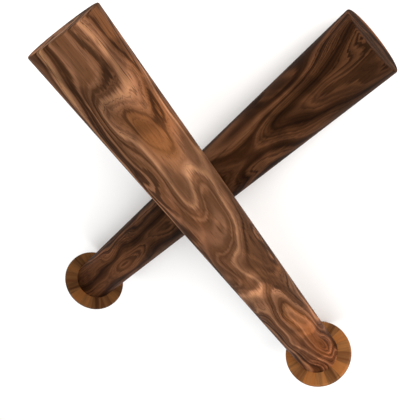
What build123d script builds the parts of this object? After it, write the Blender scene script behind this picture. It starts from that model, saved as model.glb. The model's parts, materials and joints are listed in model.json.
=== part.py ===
"""A pair of turned hardwood claves lying crossed, one across the other.

Each clave is a round shaft with a thin flange at one end. The flange is a ring of
wedges glued round a tenon turned on the shaft's end, so it shows radial joints.
The lower clave lies on the surface on its flange rim and its plain end. The upper
clave stands on its flange rim and leans across the lower shaft.
"""
import os
from math import atan2, cos, radians, sin, sqrt

from build123d import *

# Sizes of one clave, in millimetres and degrees
clave_length = 200.0        # flange's outer face to the plain end
shaft_diameter = 24.0
flange_diameter = 37.6
flange_thickness = 2.5
tenon_diameter = 15.0       # turned end of the shaft that the flange is glued round
glue_line = 0.05            # radial gap between the tenon and the flange wedges
edge_radius = 0.5           # rounding of the plain end and of the flange's rim
segment_count = 16          # wedges in one flange

# How the pair lies
lower_crossing = 125.0      # flange's outer face to the crossing, along the lower clave
upper_crossing = 123.0      # the same, along the upper clave
crossing_angle = 68.4       # between the two shafts, seen from above
touch_gap = 0.1             # between the two shafts where they cross

shaft_radius = shaft_diameter / 2
flange_radius = flange_diameter / 2
tenon_radius = tenon_diameter / 2
flange_bore_radius = tenon_radius + glue_line
segment_angle = 360 / segment_count


def pointing(plan_angle, rise):
    """Unit vector from a flange to its plain end: heading in degrees, rise in radians."""
    heading = radians(plan_angle)
    return Vector(cos(rise) * cos(heading), cos(rise) * sin(heading), sin(rise))


def rounded_rims(start, axis):
    """Centre and radius of the circle that each rounded rim of a clave is swept along."""
    return (
        (start + axis * edge_radius, flange_radius - edge_radius),
        (start + axis * (flange_thickness - edge_radius), flange_radius - edge_radius),
        (start + axis * (clave_length - edge_radius), shaft_radius - edge_radius),
    )


def reach(start, axis, direction):
    """How far a clave extends along a direction, over its three rounded rims."""
    lean = sqrt(max(0.0, 1 - axis.dot(direction) ** 2))
    ends = []
    for centre, radius in rounded_rims(start, axis):
        ends.append(centre.dot(direction) + radius * lean + edge_radius)
    return max(ends)


up = Vector(0, 0, 1)

# The lower clave drops from its flange rim to its plain end
lower_drop = atan2(flange_radius - shaft_radius, clave_length - flange_thickness)
lower_axis = pointing(0, -lower_drop)
lower_start = Vector(0, 0, reach(Vector(0, 0, 0), lower_axis, up * -1))

# The upper clave rises until its flange rim stands on the surface and its shaft
# clears the lower shaft by the touch gap
axis_spacing = shaft_diameter + touch_gap
least_rise = 0.0
most_rise = radians(45)
for halving in range(50):
    upper_rise = (least_rise + most_rise) / 2
    upper_axis = pointing(crossing_angle, upper_rise)
    common_normal = lower_axis.cross(upper_axis).normalized()
    lower_point = lower_start + lower_axis * lower_crossing
    upper_start = lower_point + common_normal * axis_spacing - upper_axis * upper_crossing
    if reach(upper_start, upper_axis, up * -1) < 0:
        least_rise = upper_rise
    else:
        most_rise = upper_rise

# The origin is the middle of the pair's outer box, on the surface
claves = ((lower_start, lower_axis), (upper_start, upper_axis))
middle = []
for direction in (Vector(1, 0, 0), Vector(0, 1, 0)):
    high = max(reach(start, axis, direction) for start, axis in claves)
    low = -max(reach(start, axis, direction * -1) for start, axis in claves)
    middle.append((high + low) / 2)
to_origin = Vector(-middle[0], -middle[1], 0)


def clave_frame(start, axis):
    """Plane on a flange's outer face, Z towards the plain end, X level."""
    return Plane(origin=start + to_origin, x_dir=up.cross(axis), z_dir=axis)


def half_section(frame, turn):
    """Plane through a clave's centre line: X is the radius, Y runs along the clave."""
    outward = frame.x_dir * cos(radians(turn)) + frame.y_dir * sin(radians(turn))
    return Plane(origin=frame.origin, x_dir=outward, z_dir=outward.cross(frame.z_dir))


os.makedirs("parts", exist_ok=True)
lower_frame = clave_frame(lower_start, lower_axis)
upper_frame = clave_frame(upper_start, upper_axis)

for clave_name, frame in (("lower", lower_frame), ("upper", upper_frame)):
    centre_line = Axis(frame.origin, frame.z_dir)

    # Shaft, turned in one piece with its tenon
    with BuildPart() as shaft:
        with BuildSketch(half_section(frame, 0)):
            with BuildLine():
                Polyline(
                    (0, clave_length / 2),
                    (0, 0),
                    (tenon_radius, 0),
                    (tenon_radius, flange_thickness),
                    (shaft_radius, flange_thickness),
                    (shaft_radius, clave_length / 2),
                )
                FilletPolyline(
                    (shaft_radius, clave_length / 2),
                    (shaft_radius, clave_length),
                    (0, clave_length),
                    radius=edge_radius,
                )
                Line((0, clave_length), (0, clave_length / 2))
            make_face()
        revolve(axis=centre_line)
    shaft.part.label = f"{clave_name}_shaft"
    export_step(shaft.part, f"parts/{clave_name}_shaft.step")

    # Flange, wedges glued side by side round the tenon and against the shoulder
    for number in range(segment_count):
        with BuildPart() as segment:
            with BuildSketch(half_section(frame, number * segment_angle)):
                with BuildLine():
                    FilletPolyline(
                        (flange_bore_radius, 0),
                        (flange_radius, 0),
                        (flange_radius, flange_thickness),
                        (flange_bore_radius, flange_thickness),
                        radius=edge_radius,
                    )
                    Line((flange_bore_radius, flange_thickness), (flange_bore_radius, 0))
                make_face()
            revolve(axis=centre_line, revolution_arc=segment_angle)
        segment_name = f"{clave_name}_flange_wedge_{number + 1:02d}"
        segment.part.label = segment_name
        export_step(segment.part, f"parts/{segment_name}.step")
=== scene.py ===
"""A pair of turned rosewood claves lying crossed on a pale floor.

Each clave is a figured shaft with a thin flange, a ring of glued wedges, at one end.
Sizes are in metres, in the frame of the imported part.
"""
import json
import math

import bmesh
import bpy
from mathutils import Matrix, Quaternion, Vector


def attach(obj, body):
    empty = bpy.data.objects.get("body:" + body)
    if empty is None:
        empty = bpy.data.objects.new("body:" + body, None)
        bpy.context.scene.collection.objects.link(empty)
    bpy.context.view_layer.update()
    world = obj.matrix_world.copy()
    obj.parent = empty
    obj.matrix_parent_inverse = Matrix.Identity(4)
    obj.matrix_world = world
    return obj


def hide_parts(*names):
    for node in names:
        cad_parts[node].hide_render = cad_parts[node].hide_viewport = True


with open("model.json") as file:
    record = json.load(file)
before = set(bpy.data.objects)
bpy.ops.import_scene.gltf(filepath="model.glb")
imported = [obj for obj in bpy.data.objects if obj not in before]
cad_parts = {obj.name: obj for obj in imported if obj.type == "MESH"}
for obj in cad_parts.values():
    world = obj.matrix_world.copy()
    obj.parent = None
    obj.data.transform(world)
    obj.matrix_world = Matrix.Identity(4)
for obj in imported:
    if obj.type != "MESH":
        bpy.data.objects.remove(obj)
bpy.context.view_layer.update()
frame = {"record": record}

# Turned sizes, as the part has them
SHAFT_RADIUS = 0.012
FLANGE_RADIUS = 0.0188
CLAVE_LENGTH = 0.2
FLANGE_THICKNESS = 0.0025
TENON_RADIUS = 0.0075
GLUE_LINE = 0.00005
EDGE_RADIUS = 0.0005
WEDGES = 16
LATHE_STEPS = 192           # faces round a shaft
LATHE_RINGS = 120           # rings of points along a shaft
WEDGE_STEPS = 12            # faces across one wedge
CORNER_STEPS = 5            # faces over one rounded corner
CREASE_DEGREES = 40         # edges sharper than this stay crisp
RIPPLE_DEPTH = 0.00002      # the faint ripple that the lathe leaves, and its two waves per metre
RIPPLE_FINE = 1450
RIPPLE_SLOW = 310
GRAIN_RELIEF = 0.00004      # depth of fibres and pores

# Each wedge is sawn from its own place along a board, and the upper flange's board starts further on
WEDGE_BLANK_PITCH = 0.31
UPPER_BLANK_START = 0.17


def wood_colour(red, green, blue):
    """Screen colour, 0 to 255, as the linear colour that a shader takes."""
    linear = []
    for value in (red, green, blue):
        share = value / 255
        linear.append(share / 12.92 if share < 0.04045 else ((share + 0.055) / 1.055) ** 2.4)
    return (*linear, 1.0)


# Wood tones
BLACKISH = wood_colour(30, 15, 6)
NEAR_BLACK = wood_colour(36, 20, 10)
DARK_STREAK = wood_colour(48, 27, 13)
COFFEE = wood_colour(64, 39, 21)
DEEP_BROWN = wood_colour(44, 25, 13)
UMBER = wood_colour(82, 52, 32)
BROWN = wood_colour(106, 70, 46)
MAUVE_BROWN = wood_colour(126, 87, 63)
PINK_TAN = wood_colour(152, 108, 79)
GOLD = wood_colour(172, 126, 88)
AMBER = wood_colour(168, 104, 54)
RUSSET = wood_colour(116, 70, 40)
WEDGE_ORANGE = wood_colour(166, 108, 60)
WEDGE_TAN = wood_colour(140, 94, 56)
WEDGE_DARK = wood_colour(92, 56, 31)


# --- how each clave lies -------------------------------------------------

mounts = {mount["name"]: mount for mount in frame["record"]["mounts"]}


class Clave:
    """One clave's centre line: local Z runs from the flange's outer face to the plain end."""

    def __init__(self, name):
        foot = Vector(mounts[name + "_flange_face"]["pos_m"])
        tip = Vector(mounts[name + "_plain_end"]["pos_m"])
        along = (tip - foot).normalized()
        level = Vector((0, 0, 1)).cross(along).normalized()
        across = along.cross(level)
        self.name = name
        self.body = name + "_clave"
        self.length = (tip - foot).length
        self.place = Matrix.Translation(foot) @ Matrix((level, across, along)).transposed().to_4x4()


lower = Clave("lower")
upper = Clave("upper")


# --- turning and cutting -------------------------------------------------

def rounded_corner(centre_radius, centre_height, start_degrees, end_degrees):
    """Points of a small quarter round in the radius and height of a turned profile."""
    points = []
    for step in range(CORNER_STEPS + 1):
        angle = math.radians(start_degrees + (end_degrees - start_degrees) * step / CORNER_STEPS)
        points.append((centre_radius + EDGE_RADIUS * math.cos(angle),
                       centre_height + EDGE_RADIUS * math.sin(angle)))
    return points


def shaft_profile(length):
    """Radius and height from the tenon's end, over the shoulder, to the plain end's middle."""
    profile = []
    for share in (0.25, 0.5, 0.75):
        profile.append((TENON_RADIUS * share, 0.0))
    profile.append((TENON_RADIUS, 0.0))
    profile.append((TENON_RADIUS, FLANGE_THICKNESS))
    profile.append((SHAFT_RADIUS, FLANGE_THICKNESS))
    body_length = length - EDGE_RADIUS - FLANGE_THICKNESS
    for ring in range(1, LATHE_RINGS):
        height = FLANGE_THICKNESS + body_length * ring / LATHE_RINGS
        wave = math.sin(height * RIPPLE_FINE) * math.sin(height * RIPPLE_SLOW + 1.0)
        profile.append((SHAFT_RADIUS - RIPPLE_DEPTH * (1 + wave) / 2, height))
    profile += rounded_corner(SHAFT_RADIUS - EDGE_RADIUS, length - EDGE_RADIUS, 0, 90)
    for share in (0.85, 0.65, 0.45, 0.25):
        profile.append(((SHAFT_RADIUS - EDGE_RADIUS) * share, length))
    return profile


def turned_shaft(clave):
    """The shaft and its tenon, turned from one blank, as a smooth mesh."""
    mesh = bpy.data.meshes.new(clave.name + "_turned_shaft")
    work = bmesh.new()
    rings = []
    for radius, height in shaft_profile(clave.length):
        ring = []
        for step in range(LATHE_STEPS):
            angle = 2 * math.pi * step / LATHE_STEPS
            ring.append(work.verts.new((radius * math.cos(angle), radius * math.sin(angle), height)))
        rings.append(ring)
    for near, far in zip(rings, rings[1:]):
        for step in range(LATHE_STEPS):
            after = (step + 1) % LATHE_STEPS
            work.faces.new((near[step], near[after], far[after], far[step]))
    tenon_middle = work.verts.new((0, 0, 0))
    end_middle = work.verts.new((0, 0, clave.length))
    for step in range(LATHE_STEPS):
        after = (step + 1) % LATHE_STEPS
        work.faces.new((tenon_middle, rings[0][after], rings[0][step]))
        work.faces.new((end_middle, rings[-1][step], rings[-1][after]))
    work.to_mesh(mesh)
    work.free()
    remember_grain(mesh, [tuple(vertex.co) for vertex in mesh.vertices])
    shaft = stand_on_clave(mesh, clave)
    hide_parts(clave.name + "_shaft")
    shaft.data.materials.append(shaft_woods[clave.name])


def wedge_profile():
    """Radius and height round one wedge's section, from the bore's outer corner."""
    bore = TENON_RADIUS + GLUE_LINE
    rim = FLANGE_RADIUS - EDGE_RADIUS
    midway = (bore + rim) / 2
    profile = [(bore, 0.0), (midway, 0.0)]
    profile += rounded_corner(rim, EDGE_RADIUS, -90, 0)
    profile += rounded_corner(rim, FLANGE_THICKNESS - EDGE_RADIUS, 0, 90)
    profile.append((midway, FLANGE_THICKNESS))
    profile.append((bore, FLANGE_THICKNESS))
    return profile


def flange_wedge(clave, number):
    """One wedge of the flange, its grain running out along its own radius."""
    start = 2 * math.pi * number / WEDGES
    sweep = 2 * math.pi / WEDGES
    profile = wedge_profile()
    mesh = bpy.data.meshes.new(f"{clave.name}_wedge_{number + 1:02d}")
    work = bmesh.new()
    sections = []
    grain = []
    to_joint = []
    for step in range(WEDGE_STEPS + 1):
        angle = start + sweep * step / WEDGE_STEPS
        off_middle = sweep * (step / WEDGE_STEPS - 0.5)
        section = []
        for radius, height in profile:
            section.append(work.verts.new((radius * math.cos(angle), radius * math.sin(angle), height)))
            grain.append((radius * math.sin(off_middle), height, radius * math.cos(off_middle)))
            to_joint.append(radius * math.sin(sweep / 2 - abs(off_middle)))
        sections.append(section)
    count = len(profile)
    for near, far in zip(sections, sections[1:]):
        for point in range(count):
            after = (point + 1) % count
            work.faces.new((near[point], near[after], far[after], far[point]))
    work.faces.new(sections[0][::-1])
    work.faces.new(sections[-1])
    bmesh.ops.recalc_face_normals(work, faces=work.faces)
    work.to_mesh(mesh)
    work.free()
    shift = WEDGE_BLANK_PITCH * number + (UPPER_BLANK_START if clave.name == "upper" else 0.0)
    remember_grain(mesh, [(x + shift, y, z) for x, y, z in grain])
    remember_joint(mesh, to_joint)
    wedge = stand_on_clave(mesh, clave)
    node = f"{clave.name}_flange_wedge_{number + 1:02d}"
    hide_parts(node)
    wedge.data.materials.append(wedge_woods[clave.name][wedge_slot[node]])


def remember_grain(mesh, places):
    """Keeps each point's place in its own blank, with the grain along local Z."""
    layer = mesh.attributes.new("blank", "FLOAT_VECTOR", "POINT")
    for index, place in enumerate(places):
        layer.data[index].vector = place


def remember_joint(mesh, distances):
    """Keeps each point's distance from the nearest glued joint."""
    layer = mesh.attributes.new("joint", "FLOAT", "POINT")
    for index, distance in enumerate(distances):
        layer.data[index].value = distance


def stand_on_clave(mesh, clave):
    """Puts a mesh made about the clave's centre line in place, to move with its body."""
    for polygon in mesh.polygons:
        polygon.use_smooth = True
    mesh.set_sharp_from_angle(angle=math.radians(CREASE_DEGREES))
    mesh.transform(clave.place)
    piece = bpy.data.objects.new(mesh.name, mesh)
    bpy.context.scene.collection.objects.link(piece)
    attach(piece, clave.body)
    return piece


# --- node helpers --------------------------------------------------------

class Bench:
    """Adds nodes to one tree, left to right, and joins them."""

    def __init__(self, tree):
        self.tree = tree
        self.column = 0

    def add(self, kind, **settings):
        node = self.tree.nodes.new(kind)
        node.location = (self.column * 190, 0)
        self.column += 1
        for name, value in settings.items():
            setattr(node, name, value)
        return node

    def feed(self, source, target):
        if isinstance(source, bpy.types.NodeSocket):
            self.tree.links.new(source, target)
        else:
            target.default_value = source

    def sum(self, operation, first, second=0.0, third=0.0):
        node = self.add("ShaderNodeMath", operation=operation)
        for source, target in zip((first, second, third), node.inputs):
            self.feed(source, target)
        return node.outputs[0]

    def vector(self, operation, first, second):
        node = self.add("ShaderNodeVectorMath", operation=operation)
        self.feed(first, node.inputs[0])
        self.feed(second, node.inputs[1])
        return node.outputs[0]

    def reach(self, place):
        """Distance from the blank's own centre line, whatever the height."""
        node = self.add("ShaderNodeVectorMath", operation="LENGTH")
        self.feed(self.vector("MULTIPLY", place, (1.0, 1.0, 0.0)), node.inputs[0])
        return node.outputs["Value"]

    def noise(self, place, scale=1.0, detail=2.0, roughness=0.5):
        node = self.add("ShaderNodeTexNoise", noise_dimensions="3D")
        self.feed(place, node.inputs["Vector"])
        node.inputs["Scale"].default_value = scale
        node.inputs["Detail"].default_value = detail
        node.inputs["Roughness"].default_value = roughness
        return node

    def line_noise(self, position, scale, detail, roughness):
        """Uneven bands along one number, such as the years across a log."""
        node = self.add("ShaderNodeTexNoise", noise_dimensions="1D")
        self.feed(position, node.inputs["W"])
        node.inputs["Scale"].default_value = scale
        node.inputs["Detail"].default_value = detail
        node.inputs["Roughness"].default_value = roughness
        return node.outputs["Fac"]

    def spread(self, value, low, high, to_low=0.0, to_high=1.0):
        node = self.add("ShaderNodeMapRange", interpolation_type="SMOOTHSTEP")
        for source, target in zip((value, low, high, to_low, to_high), node.inputs):
            self.feed(source, target)
        return node.outputs[0]

    def mix(self, share, first, second, blend="MIX"):
        node = self.add("ShaderNodeMix", data_type="RGBA", blend_type=blend)
        self.feed(share, node.inputs["Factor"])
        self.feed(first, node.inputs["A"])
        self.feed(second, node.inputs["B"])
        return node.outputs["Result"]

    def shade(self, colour, tone):
        """Makes a colour darker or lighter by one number."""
        grey = self.add("ShaderNodeCombineColor")
        for channel in grey.inputs:
            self.feed(tone, channel)
        return self.mix(1.0, colour, grey.outputs[0], blend="MULTIPLY")

    def ramp(self, value, stops):
        node = self.add("ShaderNodeValToRGB")
        self.feed(value, node.inputs["Fac"])
        elements = node.color_ramp.elements
        node.color_ramp.interpolation = "B_SPLINE"
        elements[0].position, elements[0].color = stops[0]
        elements[1].position, elements[1].color = stops[-1]
        for position, colour in stops[1:-1]:
            elements.new(position).color = colour
        return node.outputs["Color"]


def new_group(name, inputs, outputs):
    """A shader node group with the named sockets, and a bench to fill it with."""
    group = bpy.data.node_groups.new(name, "ShaderNodeTree")
    for socket, kind, value in inputs:
        made = group.interface.new_socket(name=socket, in_out="INPUT", socket_type=kind)
        if value is not None:
            made.default_value = value
    for socket, kind in outputs:
        group.interface.new_socket(name=socket, in_out="OUTPUT", socket_type=kind)
    bench = Bench(group)
    return group, bench, bench.add("NodeGroupInput"), bench.add("NodeGroupOutput")


# --- shared effects ------------------------------------------------------

def make_figure():
    """Year rings round a pith, bent by a wavy trunk: the lines that a turned shaft cuts."""
    group, bench, given, result = new_group(
        "flowing figure",
        (("Blank", "NodeSocketVector", None), ("Pith", "NodeSocketVector", None),
         ("Fray", "NodeSocketFloat", 0.5), ("Seed", "NodeSocketFloat", 0.0),
         ("Breadth", "NodeSocketFloat", 0.02), ("Length", "NodeSocketFloat", 0.06),
         ("Waviness", "NodeSocketFloat", 0.5), ("Swirl", "NodeSocketFloat", 0.5),
         ("Years", "NodeSocketFloat", 5.0), ("Heartwood", "NodeSocketFloat", 1.4)),
        (("Year", "NodeSocketFloat"), ("Fine Lines", "NodeSocketFloat"), ("Ripple", "NodeSocketFloat"),
         ("Patch", "NodeSocketFloat"), ("Sapwood", "NodeSocketFloat"),
         ("Outer Side", "NodeSocketFloat")))
    per_size = bench.add("ShaderNodeCombineXYZ")
    per_breadth = bench.sum("DIVIDE", 1.0, given.outputs["Breadth"])
    bench.feed(per_breadth, per_size.inputs["X"])
    bench.feed(per_breadth, per_size.inputs["Y"])
    bench.feed(bench.sum("DIVIDE", 1.0, given.outputs["Length"]), per_size.inputs["Z"])
    scaled = bench.vector("MULTIPLY", given.outputs["Blank"], per_size.outputs[0])
    pith = bench.vector("MULTIPLY", given.outputs["Pith"], per_size.outputs[0])
    seed = bench.add("ShaderNodeCombineXYZ")
    bench.feed(given.outputs["Seed"], seed.inputs["X"])
    bench.feed(bench.sum("MULTIPLY", given.outputs["Seed"], 1.7), seed.inputs["Y"])
    bench.feed(bench.sum("MULTIPLY", given.outputs["Seed"], 0.6), seed.inputs["Z"])
    place = bench.vector("ADD", scaled, seed.outputs[0])
    bend = bench.noise(place, scale=1.3, detail=1.6, roughness=0.45)
    offset = bench.vector("SUBTRACT", bend.outputs["Color"], (0.5, 0.5, 0.5))
    push = bench.add("ShaderNodeVectorMath", operation="SCALE")
    bench.feed(offset, push.inputs[0])
    bench.feed(given.outputs["Waviness"], push.inputs["Scale"])
    bent = bench.vector("ADD", place, push.outputs[0])
    from_pith = bench.vector("SUBTRACT", bench.vector("ADD", scaled, push.outputs[0]), pith)
    rings = bench.reach(from_pith)
    swirl = bench.noise(bent, scale=0.8, detail=0.8, roughness=0.35).outputs["Fac"]
    flow = bench.sum("MULTIPLY_ADD", swirl, given.outputs["Swirl"], rings)
    frayed = bench.sum("MULTIPLY", given.outputs["Fray"], 0.3)
    year = bench.sum("MULTIPLY_ADD", flow, given.outputs["Years"], frayed)
    bands = bench.line_noise(year, scale=1.0, detail=2.5, roughness=0.5)
    bench.feed(bench.spread(bands, 0.25, 0.75), result.inputs["Year"])
    fine = bench.line_noise(year, scale=6.0, detail=2.0, roughness=0.55)
    where = bench.noise(place, scale=1.5, detail=1.0).outputs["Fac"]
    gathered = bench.spread(where, 0.4, 0.6, 0.2, 1.0)
    dark_lines = bench.spread(fine, 0.56, 0.38)
    bench.feed(bench.sum("MULTIPLY", dark_lines, gathered), result.inputs["Fine Lines"])
    across = bench.vector("MULTIPLY", bent, (0.7, 0.7, 5.5))
    ripple = bench.noise(across, detail=1.5, roughness=0.5).outputs["Fac"]
    bench.feed(bench.spread(ripple, 0.32, 0.68), result.inputs["Ripple"])
    patch = bench.noise(place, scale=0.9, detail=1.0).outputs["Fac"]
    bench.feed(bench.spread(patch, 0.38, 0.62), result.inputs["Patch"])
    ring_out = bench.sum("SUBTRACT", rings, given.outputs["Heartwood"])
    bench.feed(bench.spread(ring_out, -0.05, 0.12), result.inputs["Sapwood"])
    outward = bench.reach(bench.vector("SUBTRACT", scaled, pith))
    bench.feed(bench.spread(outward, 1.12, 1.32), result.inputs["Outer Side"])
    return group


def make_fibre():
    """Long fibres and open pores that run with the grain."""
    group, bench, given, result = new_group(
        "fibre and pores",
        (("Blank", "NodeSocketVector", None), ("Fibre Width", "NodeSocketFloat", 0.0006)),
        (("Fibre", "NodeSocketFloat"), ("Pores", "NodeSocketFloat"), ("Height", "NodeSocketFloat")))
    per_width = bench.sum("DIVIDE", 1.0, given.outputs["Fibre Width"])
    along = bench.sum("MULTIPLY", per_width, 0.05)
    stretch = bench.add("ShaderNodeCombineXYZ")
    bench.feed(per_width, stretch.inputs["X"])
    bench.feed(per_width, stretch.inputs["Y"])
    bench.feed(along, stretch.inputs["Z"])
    drawn = bench.vector("MULTIPLY", given.outputs["Blank"], stretch.outputs[0])
    fibre = bench.noise(drawn, scale=1.0, detail=4.0, roughness=0.6).outputs["Fac"]
    dashes = bench.noise(bench.vector("MULTIPLY", drawn, (2.2, 2.2, 3.5)), detail=1.0).outputs["Fac"]
    pores = bench.spread(dashes, 0.62, 0.72)
    bench.feed(fibre, result.inputs["Fibre"])
    bench.feed(pores, result.inputs["Pores"])
    height = bench.sum("SUBTRACT", bench.sum("MULTIPLY", fibre, 0.5), bench.sum("MULTIPLY", pores, 0.7))
    bench.feed(height, result.inputs["Height"])
    return group


figure_group = make_figure()
fibre_group = make_fibre()


# --- finishes ------------------------------------------------------------

def place_group(bench, group, **values):
    """One shared effect placed in a material, with that material's own values."""
    node = bench.add("ShaderNodeGroup", node_tree=group)
    for name, value in values.items():
        bench.feed(value, node.inputs[name.replace("_", " ")])
    return node


def start_finish(name):
    material = bpy.data.materials.new(name)
    material.use_nodes = True
    material.node_tree.nodes.clear()
    bench = Bench(material.node_tree)
    blank = bench.add("ShaderNodeAttribute", attribute_name="blank").outputs["Vector"]
    return material, bench, blank


def seal(bench, colour, height, roughness):
    """Dry, hand rubbed wood surface over a colour and a relief."""
    bump = bench.add("ShaderNodeBump")
    bump.inputs["Strength"].default_value = 0.35
    bump.inputs["Distance"].default_value = GRAIN_RELIEF
    bench.feed(height, bump.inputs["Height"])
    surface = bench.add("ShaderNodeBsdfPrincipled")
    surface.inputs["IOR"].default_value = 1.45
    surface.inputs["Specular IOR Level"].default_value = 0.02
    bench.feed(colour, surface.inputs["Base Color"])
    bench.feed(roughness, surface.inputs["Roughness"])
    bench.feed(bump.outputs["Normal"], surface.inputs["Normal"])
    output = bench.add("ShaderNodeOutputMaterial")
    bench.feed(surface.outputs[0], output.inputs["Surface"])


def rosewood(name, stops, sapwood, seed, pith, heartwood, warm, light, end_light, foot_tone_and_painted_light,
             rim_share):
    """Figured rosewood of a whole shaft, with its sapwood edge, warmer towards the flange.

    The light values darken or lighten the whole shaft, its plain end and its flange end. On the lower
    clave the lift towards the flange end is painted light, laid over the shadow that the upper clave
    casts there.
    The rim share is how much sapwood shows at the edge of the end grain.
    """
    material, bench, blank = start_finish(name)
    fibre = place_group(bench, fibre_group, Blank=blank, Fibre_Width=0.0007)
    figure = place_group(bench, figure_group, Blank=blank, Pith=pith, Fray=fibre.outputs["Fibre"],
                         Seed=seed, Breadth=0.024, Length=0.07, Waviness=1.5, Swirl=1.1, Years=5.0,
                         Heartwood=heartwood)
    colour = bench.ramp(figure.outputs["Year"], stops)
    colour = bench.mix(bench.sum("MULTIPLY", figure.outputs["Sapwood"], 0.3), colour, sapwood)
    lines = bench.sum("MULTIPLY", figure.outputs["Fine Lines"], 0.8)
    colour = bench.mix(lines, colour, stops[0][1])
    parts = bench.add("ShaderNodeSeparateXYZ")
    bench.feed(blank, parts.inputs[0])
    towards_flange = bench.spread(parts.outputs["Z"], 0.0, 0.08, 1.0, 0.0)
    warmth = bench.sum("MULTIPLY", towards_flange, warm)
    warmth = bench.sum("MULTIPLY_ADD", figure.outputs["Patch"], 0.15, warmth)
    colour = bench.mix(warmth, colour, sapwood, blend="SOFT_LIGHT")
    ripple = bench.spread(figure.outputs["Ripple"], 0.0, 1.0, 0.74, 1.3)
    ripple = bench.sum("MULTIPLY", ripple, bench.spread(parts.outputs["Z"], 0.12, 0.19, 1.0, end_light))
    # flange end factor: on the lower clave this is painted light, brightening the shaft towards its
    # flange over the shadow that the upper clave casts there
    ripple = bench.sum("MULTIPLY", ripple, bench.spread(parts.outputs["Z"], 0.03, 0.1, foot_tone_and_painted_light, 1.0))
    tone = bench.spread(fibre.outputs["Fibre"], 0.25, 0.75, 0.8 * light, 1.2 * light)
    tone = bench.sum("MULTIPLY", tone, ripple)
    tone = bench.sum("MULTIPLY", tone, bench.spread(figure.outputs["Patch"], 0.0, 1.0, 0.78, 1.12))
    half_length = CLAVE_LENGTH / 2
    from_middle = bench.sum("ABSOLUTE", bench.sum("SUBTRACT", parts.outputs["Z"], half_length))
    end_grain = bench.spread(from_middle, half_length - 0.0004, half_length - 0.0001)
    tone = bench.sum("MULTIPLY", tone, bench.sum("MULTIPLY_ADD", end_grain, -0.2, 1.0))
    rim = bench.sum("MULTIPLY", end_grain, figure.outputs["Outer Side"])
    colour = bench.shade(colour, tone)
    colour = bench.mix(bench.sum("MULTIPLY", rim, rim_share), colour, sapwood)
    colour = bench.mix(bench.sum("MULTIPLY", fibre.outputs["Pores"], 0.4), colour, NEAR_BLACK)
    roughness = bench.spread(fibre.outputs["Fibre"], 0.2, 0.8, 0.62, 0.48)
    roughness = bench.sum("MULTIPLY_ADD", end_grain, 0.25, roughness)
    seal(bench, colour, fibre.outputs["Height"], roughness)
    return material


def wedge_wood(name, pale, deep, seed, light):
    """Straight grained wood of one tone for the flange's wedges, with its glue lines."""
    material, bench, blank = start_finish(name)
    fibre = place_group(bench, fibre_group, Blank=blank, Fibre_Width=0.0004)
    figure = place_group(bench, figure_group, Blank=blank, Pith=(0.01, 0.004, 0.0),
                         Fray=fibre.outputs["Fibre"], Seed=seed, Breadth=0.004, Length=0.03,
                         Waviness=0.5, Swirl=0.5, Years=1.6, Heartwood=1000.0)
    colour = bench.mix(figure.outputs["Year"], deep, pale)
    tone = bench.spread(fibre.outputs["Fibre"], 0.3, 0.7, light * 0.88, light * 1.1)
    colour = bench.shade(colour, tone)
    joint = bench.add("ShaderNodeAttribute", attribute_name="joint").outputs["Fac"]
    glue = bench.spread(joint, 0.00003, 0.00014, 0.3, 0.0)
    colour = bench.mix(glue, colour, DARK_STREAK)
    roughness = bench.spread(fibre.outputs["Fibre"], 0.2, 0.8, 0.58, 0.48)
    seal(bench, colour, fibre.outputs["Height"], roughness)
    return material


shaft_woods = {}
shaft_woods["upper"] = rosewood(
    "upper rosewood",
    ((0.0, DEEP_BROWN), (0.25, UMBER), (0.48, BROWN), (0.66, MAUVE_BROWN), (0.84, PINK_TAN), (1.0, GOLD)),
    sapwood=AMBER, seed=64.2, pith=(0.022, -0.003, 0.0), heartwood=1.45,
    warm=0.25, light=0.98, end_light=0.76, foot_tone_and_painted_light=0.82,
    rim_share=0.0)
shaft_woods["lower"] = rosewood(
    "lower rosewood",
    ((0.0, BLACKISH), (0.25, DARK_STREAK), (0.5, COFFEE), (0.75, UMBER), (1.0, BROWN)),
    sapwood=RUSSET, seed=23.6, pith=(0.002, 0.021, 0.0), heartwood=1.35,
    # the lower clave's brightening towards its flange end is painted light, over the shadow that the
    # upper clave casts there
    warm=0.35, light=0.82, end_light=0.82, foot_tone_and_painted_light=1.45,
    rim_share=0.7)

# Wedge tones of each flange: the upper one is the warmer and paler
wedge_woods = {}
for clave_name, light in (("upper", 0.7), ("lower", 0.33)):
    wedge_woods[clave_name] = {
        "orange_wedge": wedge_wood(clave_name + " amber wedge", AMBER, WEDGE_ORANGE, 1.0, light),
        "tan_wedge": wedge_wood(clave_name + " tan wedge", WEDGE_ORANGE, WEDGE_TAN, 2.0, light),
        "red_brown_wedge": wedge_wood(clave_name + " russet wedge", WEDGE_TAN, RUSSET, 3.0, light),
        "dark_wedge": wedge_wood(clave_name + " dark wedge", WEDGE_TAN, WEDGE_DARK, 4.0, light),
    }


# --- put the pair together -----------------------------------------------

wedge_slot = {entry["node"]: entry["material_slot"] for entry in frame["record"]["subparts"]}

for clave in (lower, upper):
    turned_shaft(clave)
    for number in range(WEDGES):
        flange_wedge(clave, number)


# --- floor, light and camera ---------------------------------------------

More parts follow.
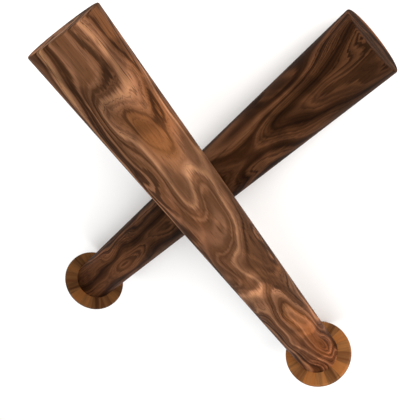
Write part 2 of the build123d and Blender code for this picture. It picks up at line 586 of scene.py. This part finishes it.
def pale_floor(half_width=6.0):
    """A wide pale floor under the pair."""
    mesh = bpy.data.meshes.new("floor")
    work = bmesh.new()
    bmesh.ops.create_grid(work, x_segments=8, y_segments=8, size=half_width)
    work.to_mesh(mesh)
    work.free()
    floor = bpy.data.objects.new("floor", mesh)
    bpy.context.scene.collection.objects.link(floor)
    material = bpy.data.materials.new("matt white board")
    material.use_nodes = True
    surface = material.node_tree.nodes["Principled BSDF"]
    surface.inputs["Base Color"].default_value = (0.93, 0.93, 0.93, 1)
    surface.inputs["Roughness"].default_value = 0.9
    surface.inputs["Specular IOR Level"].default_value = 0.0
    mesh.materials.append(material)


def soft_light(name, position, target, size, power, warmth=(1.0, 1.0, 1.0)):
    """A square studio light aimed at a point."""
    data = bpy.data.lights.new(name, "AREA")
    data.shape = "SQUARE"
    data.size = size
    data.energy = power
    data.color = warmth
    light = bpy.data.objects.new(name, data)
    light.location = position
    light.rotation_mode = "QUATERNION"
    light.rotation_quaternion = (Vector(target) - Vector(position)).to_track_quat("-Z", "Y")
    bpy.context.scene.collection.objects.link(light)


def studio_sky(strength):
    world = bpy.data.worlds.new("studio")
    world.use_nodes = True
    background = world.node_tree.nodes["Background"]
    background.inputs["Color"].default_value = (1.0, 1.0, 1.0, 1)
    background.inputs["Strength"].default_value = strength
    bpy.context.scene.world = world


def camera_over(eye, heading, dip, roll, lens, lift):
    """A camera at a point, turned to a heading from +Y towards +X, dipped and rolled, in degrees."""
    h, d = math.radians(heading), math.radians(dip)
    ahead = Vector((math.sin(h) * math.cos(d), math.cos(h) * math.cos(d), -math.sin(d)))
    data = bpy.data.cameras.new("camera")
    data.sensor_width = 36.0
    data.lens = lens
    data.shift_y = lift     # a small one, so that the pair stays in the frame
    data.clip_start = 0.005
    data.clip_end = 50.0
    camera = bpy.data.objects.new("camera", data)
    camera.location = eye
    camera.rotation_mode = "QUATERNION"
    level = ahead.to_track_quat("-Z", "Y")
    camera.rotation_quaternion = level @ Quaternion((0, 0, 1), math.radians(roll))
    bpy.context.scene.collection.objects.link(camera)
    bpy.context.scene.camera = camera


pale_floor()
studio_sky(1.0)
soft_light("key", (0.75, 0.1, 0.42), (0, 0, 0.02), size=0.5, power=8.0, warmth=(1.0, 0.97, 0.93))
camera_over(eye=(0.12130, 0.05741, 0.14125), heading=-110.331, dip=45.392, roll=-154.15, lens=32.3,
            lift=0.014)
bpy.context.scene.view_settings.view_transform = "Standard"
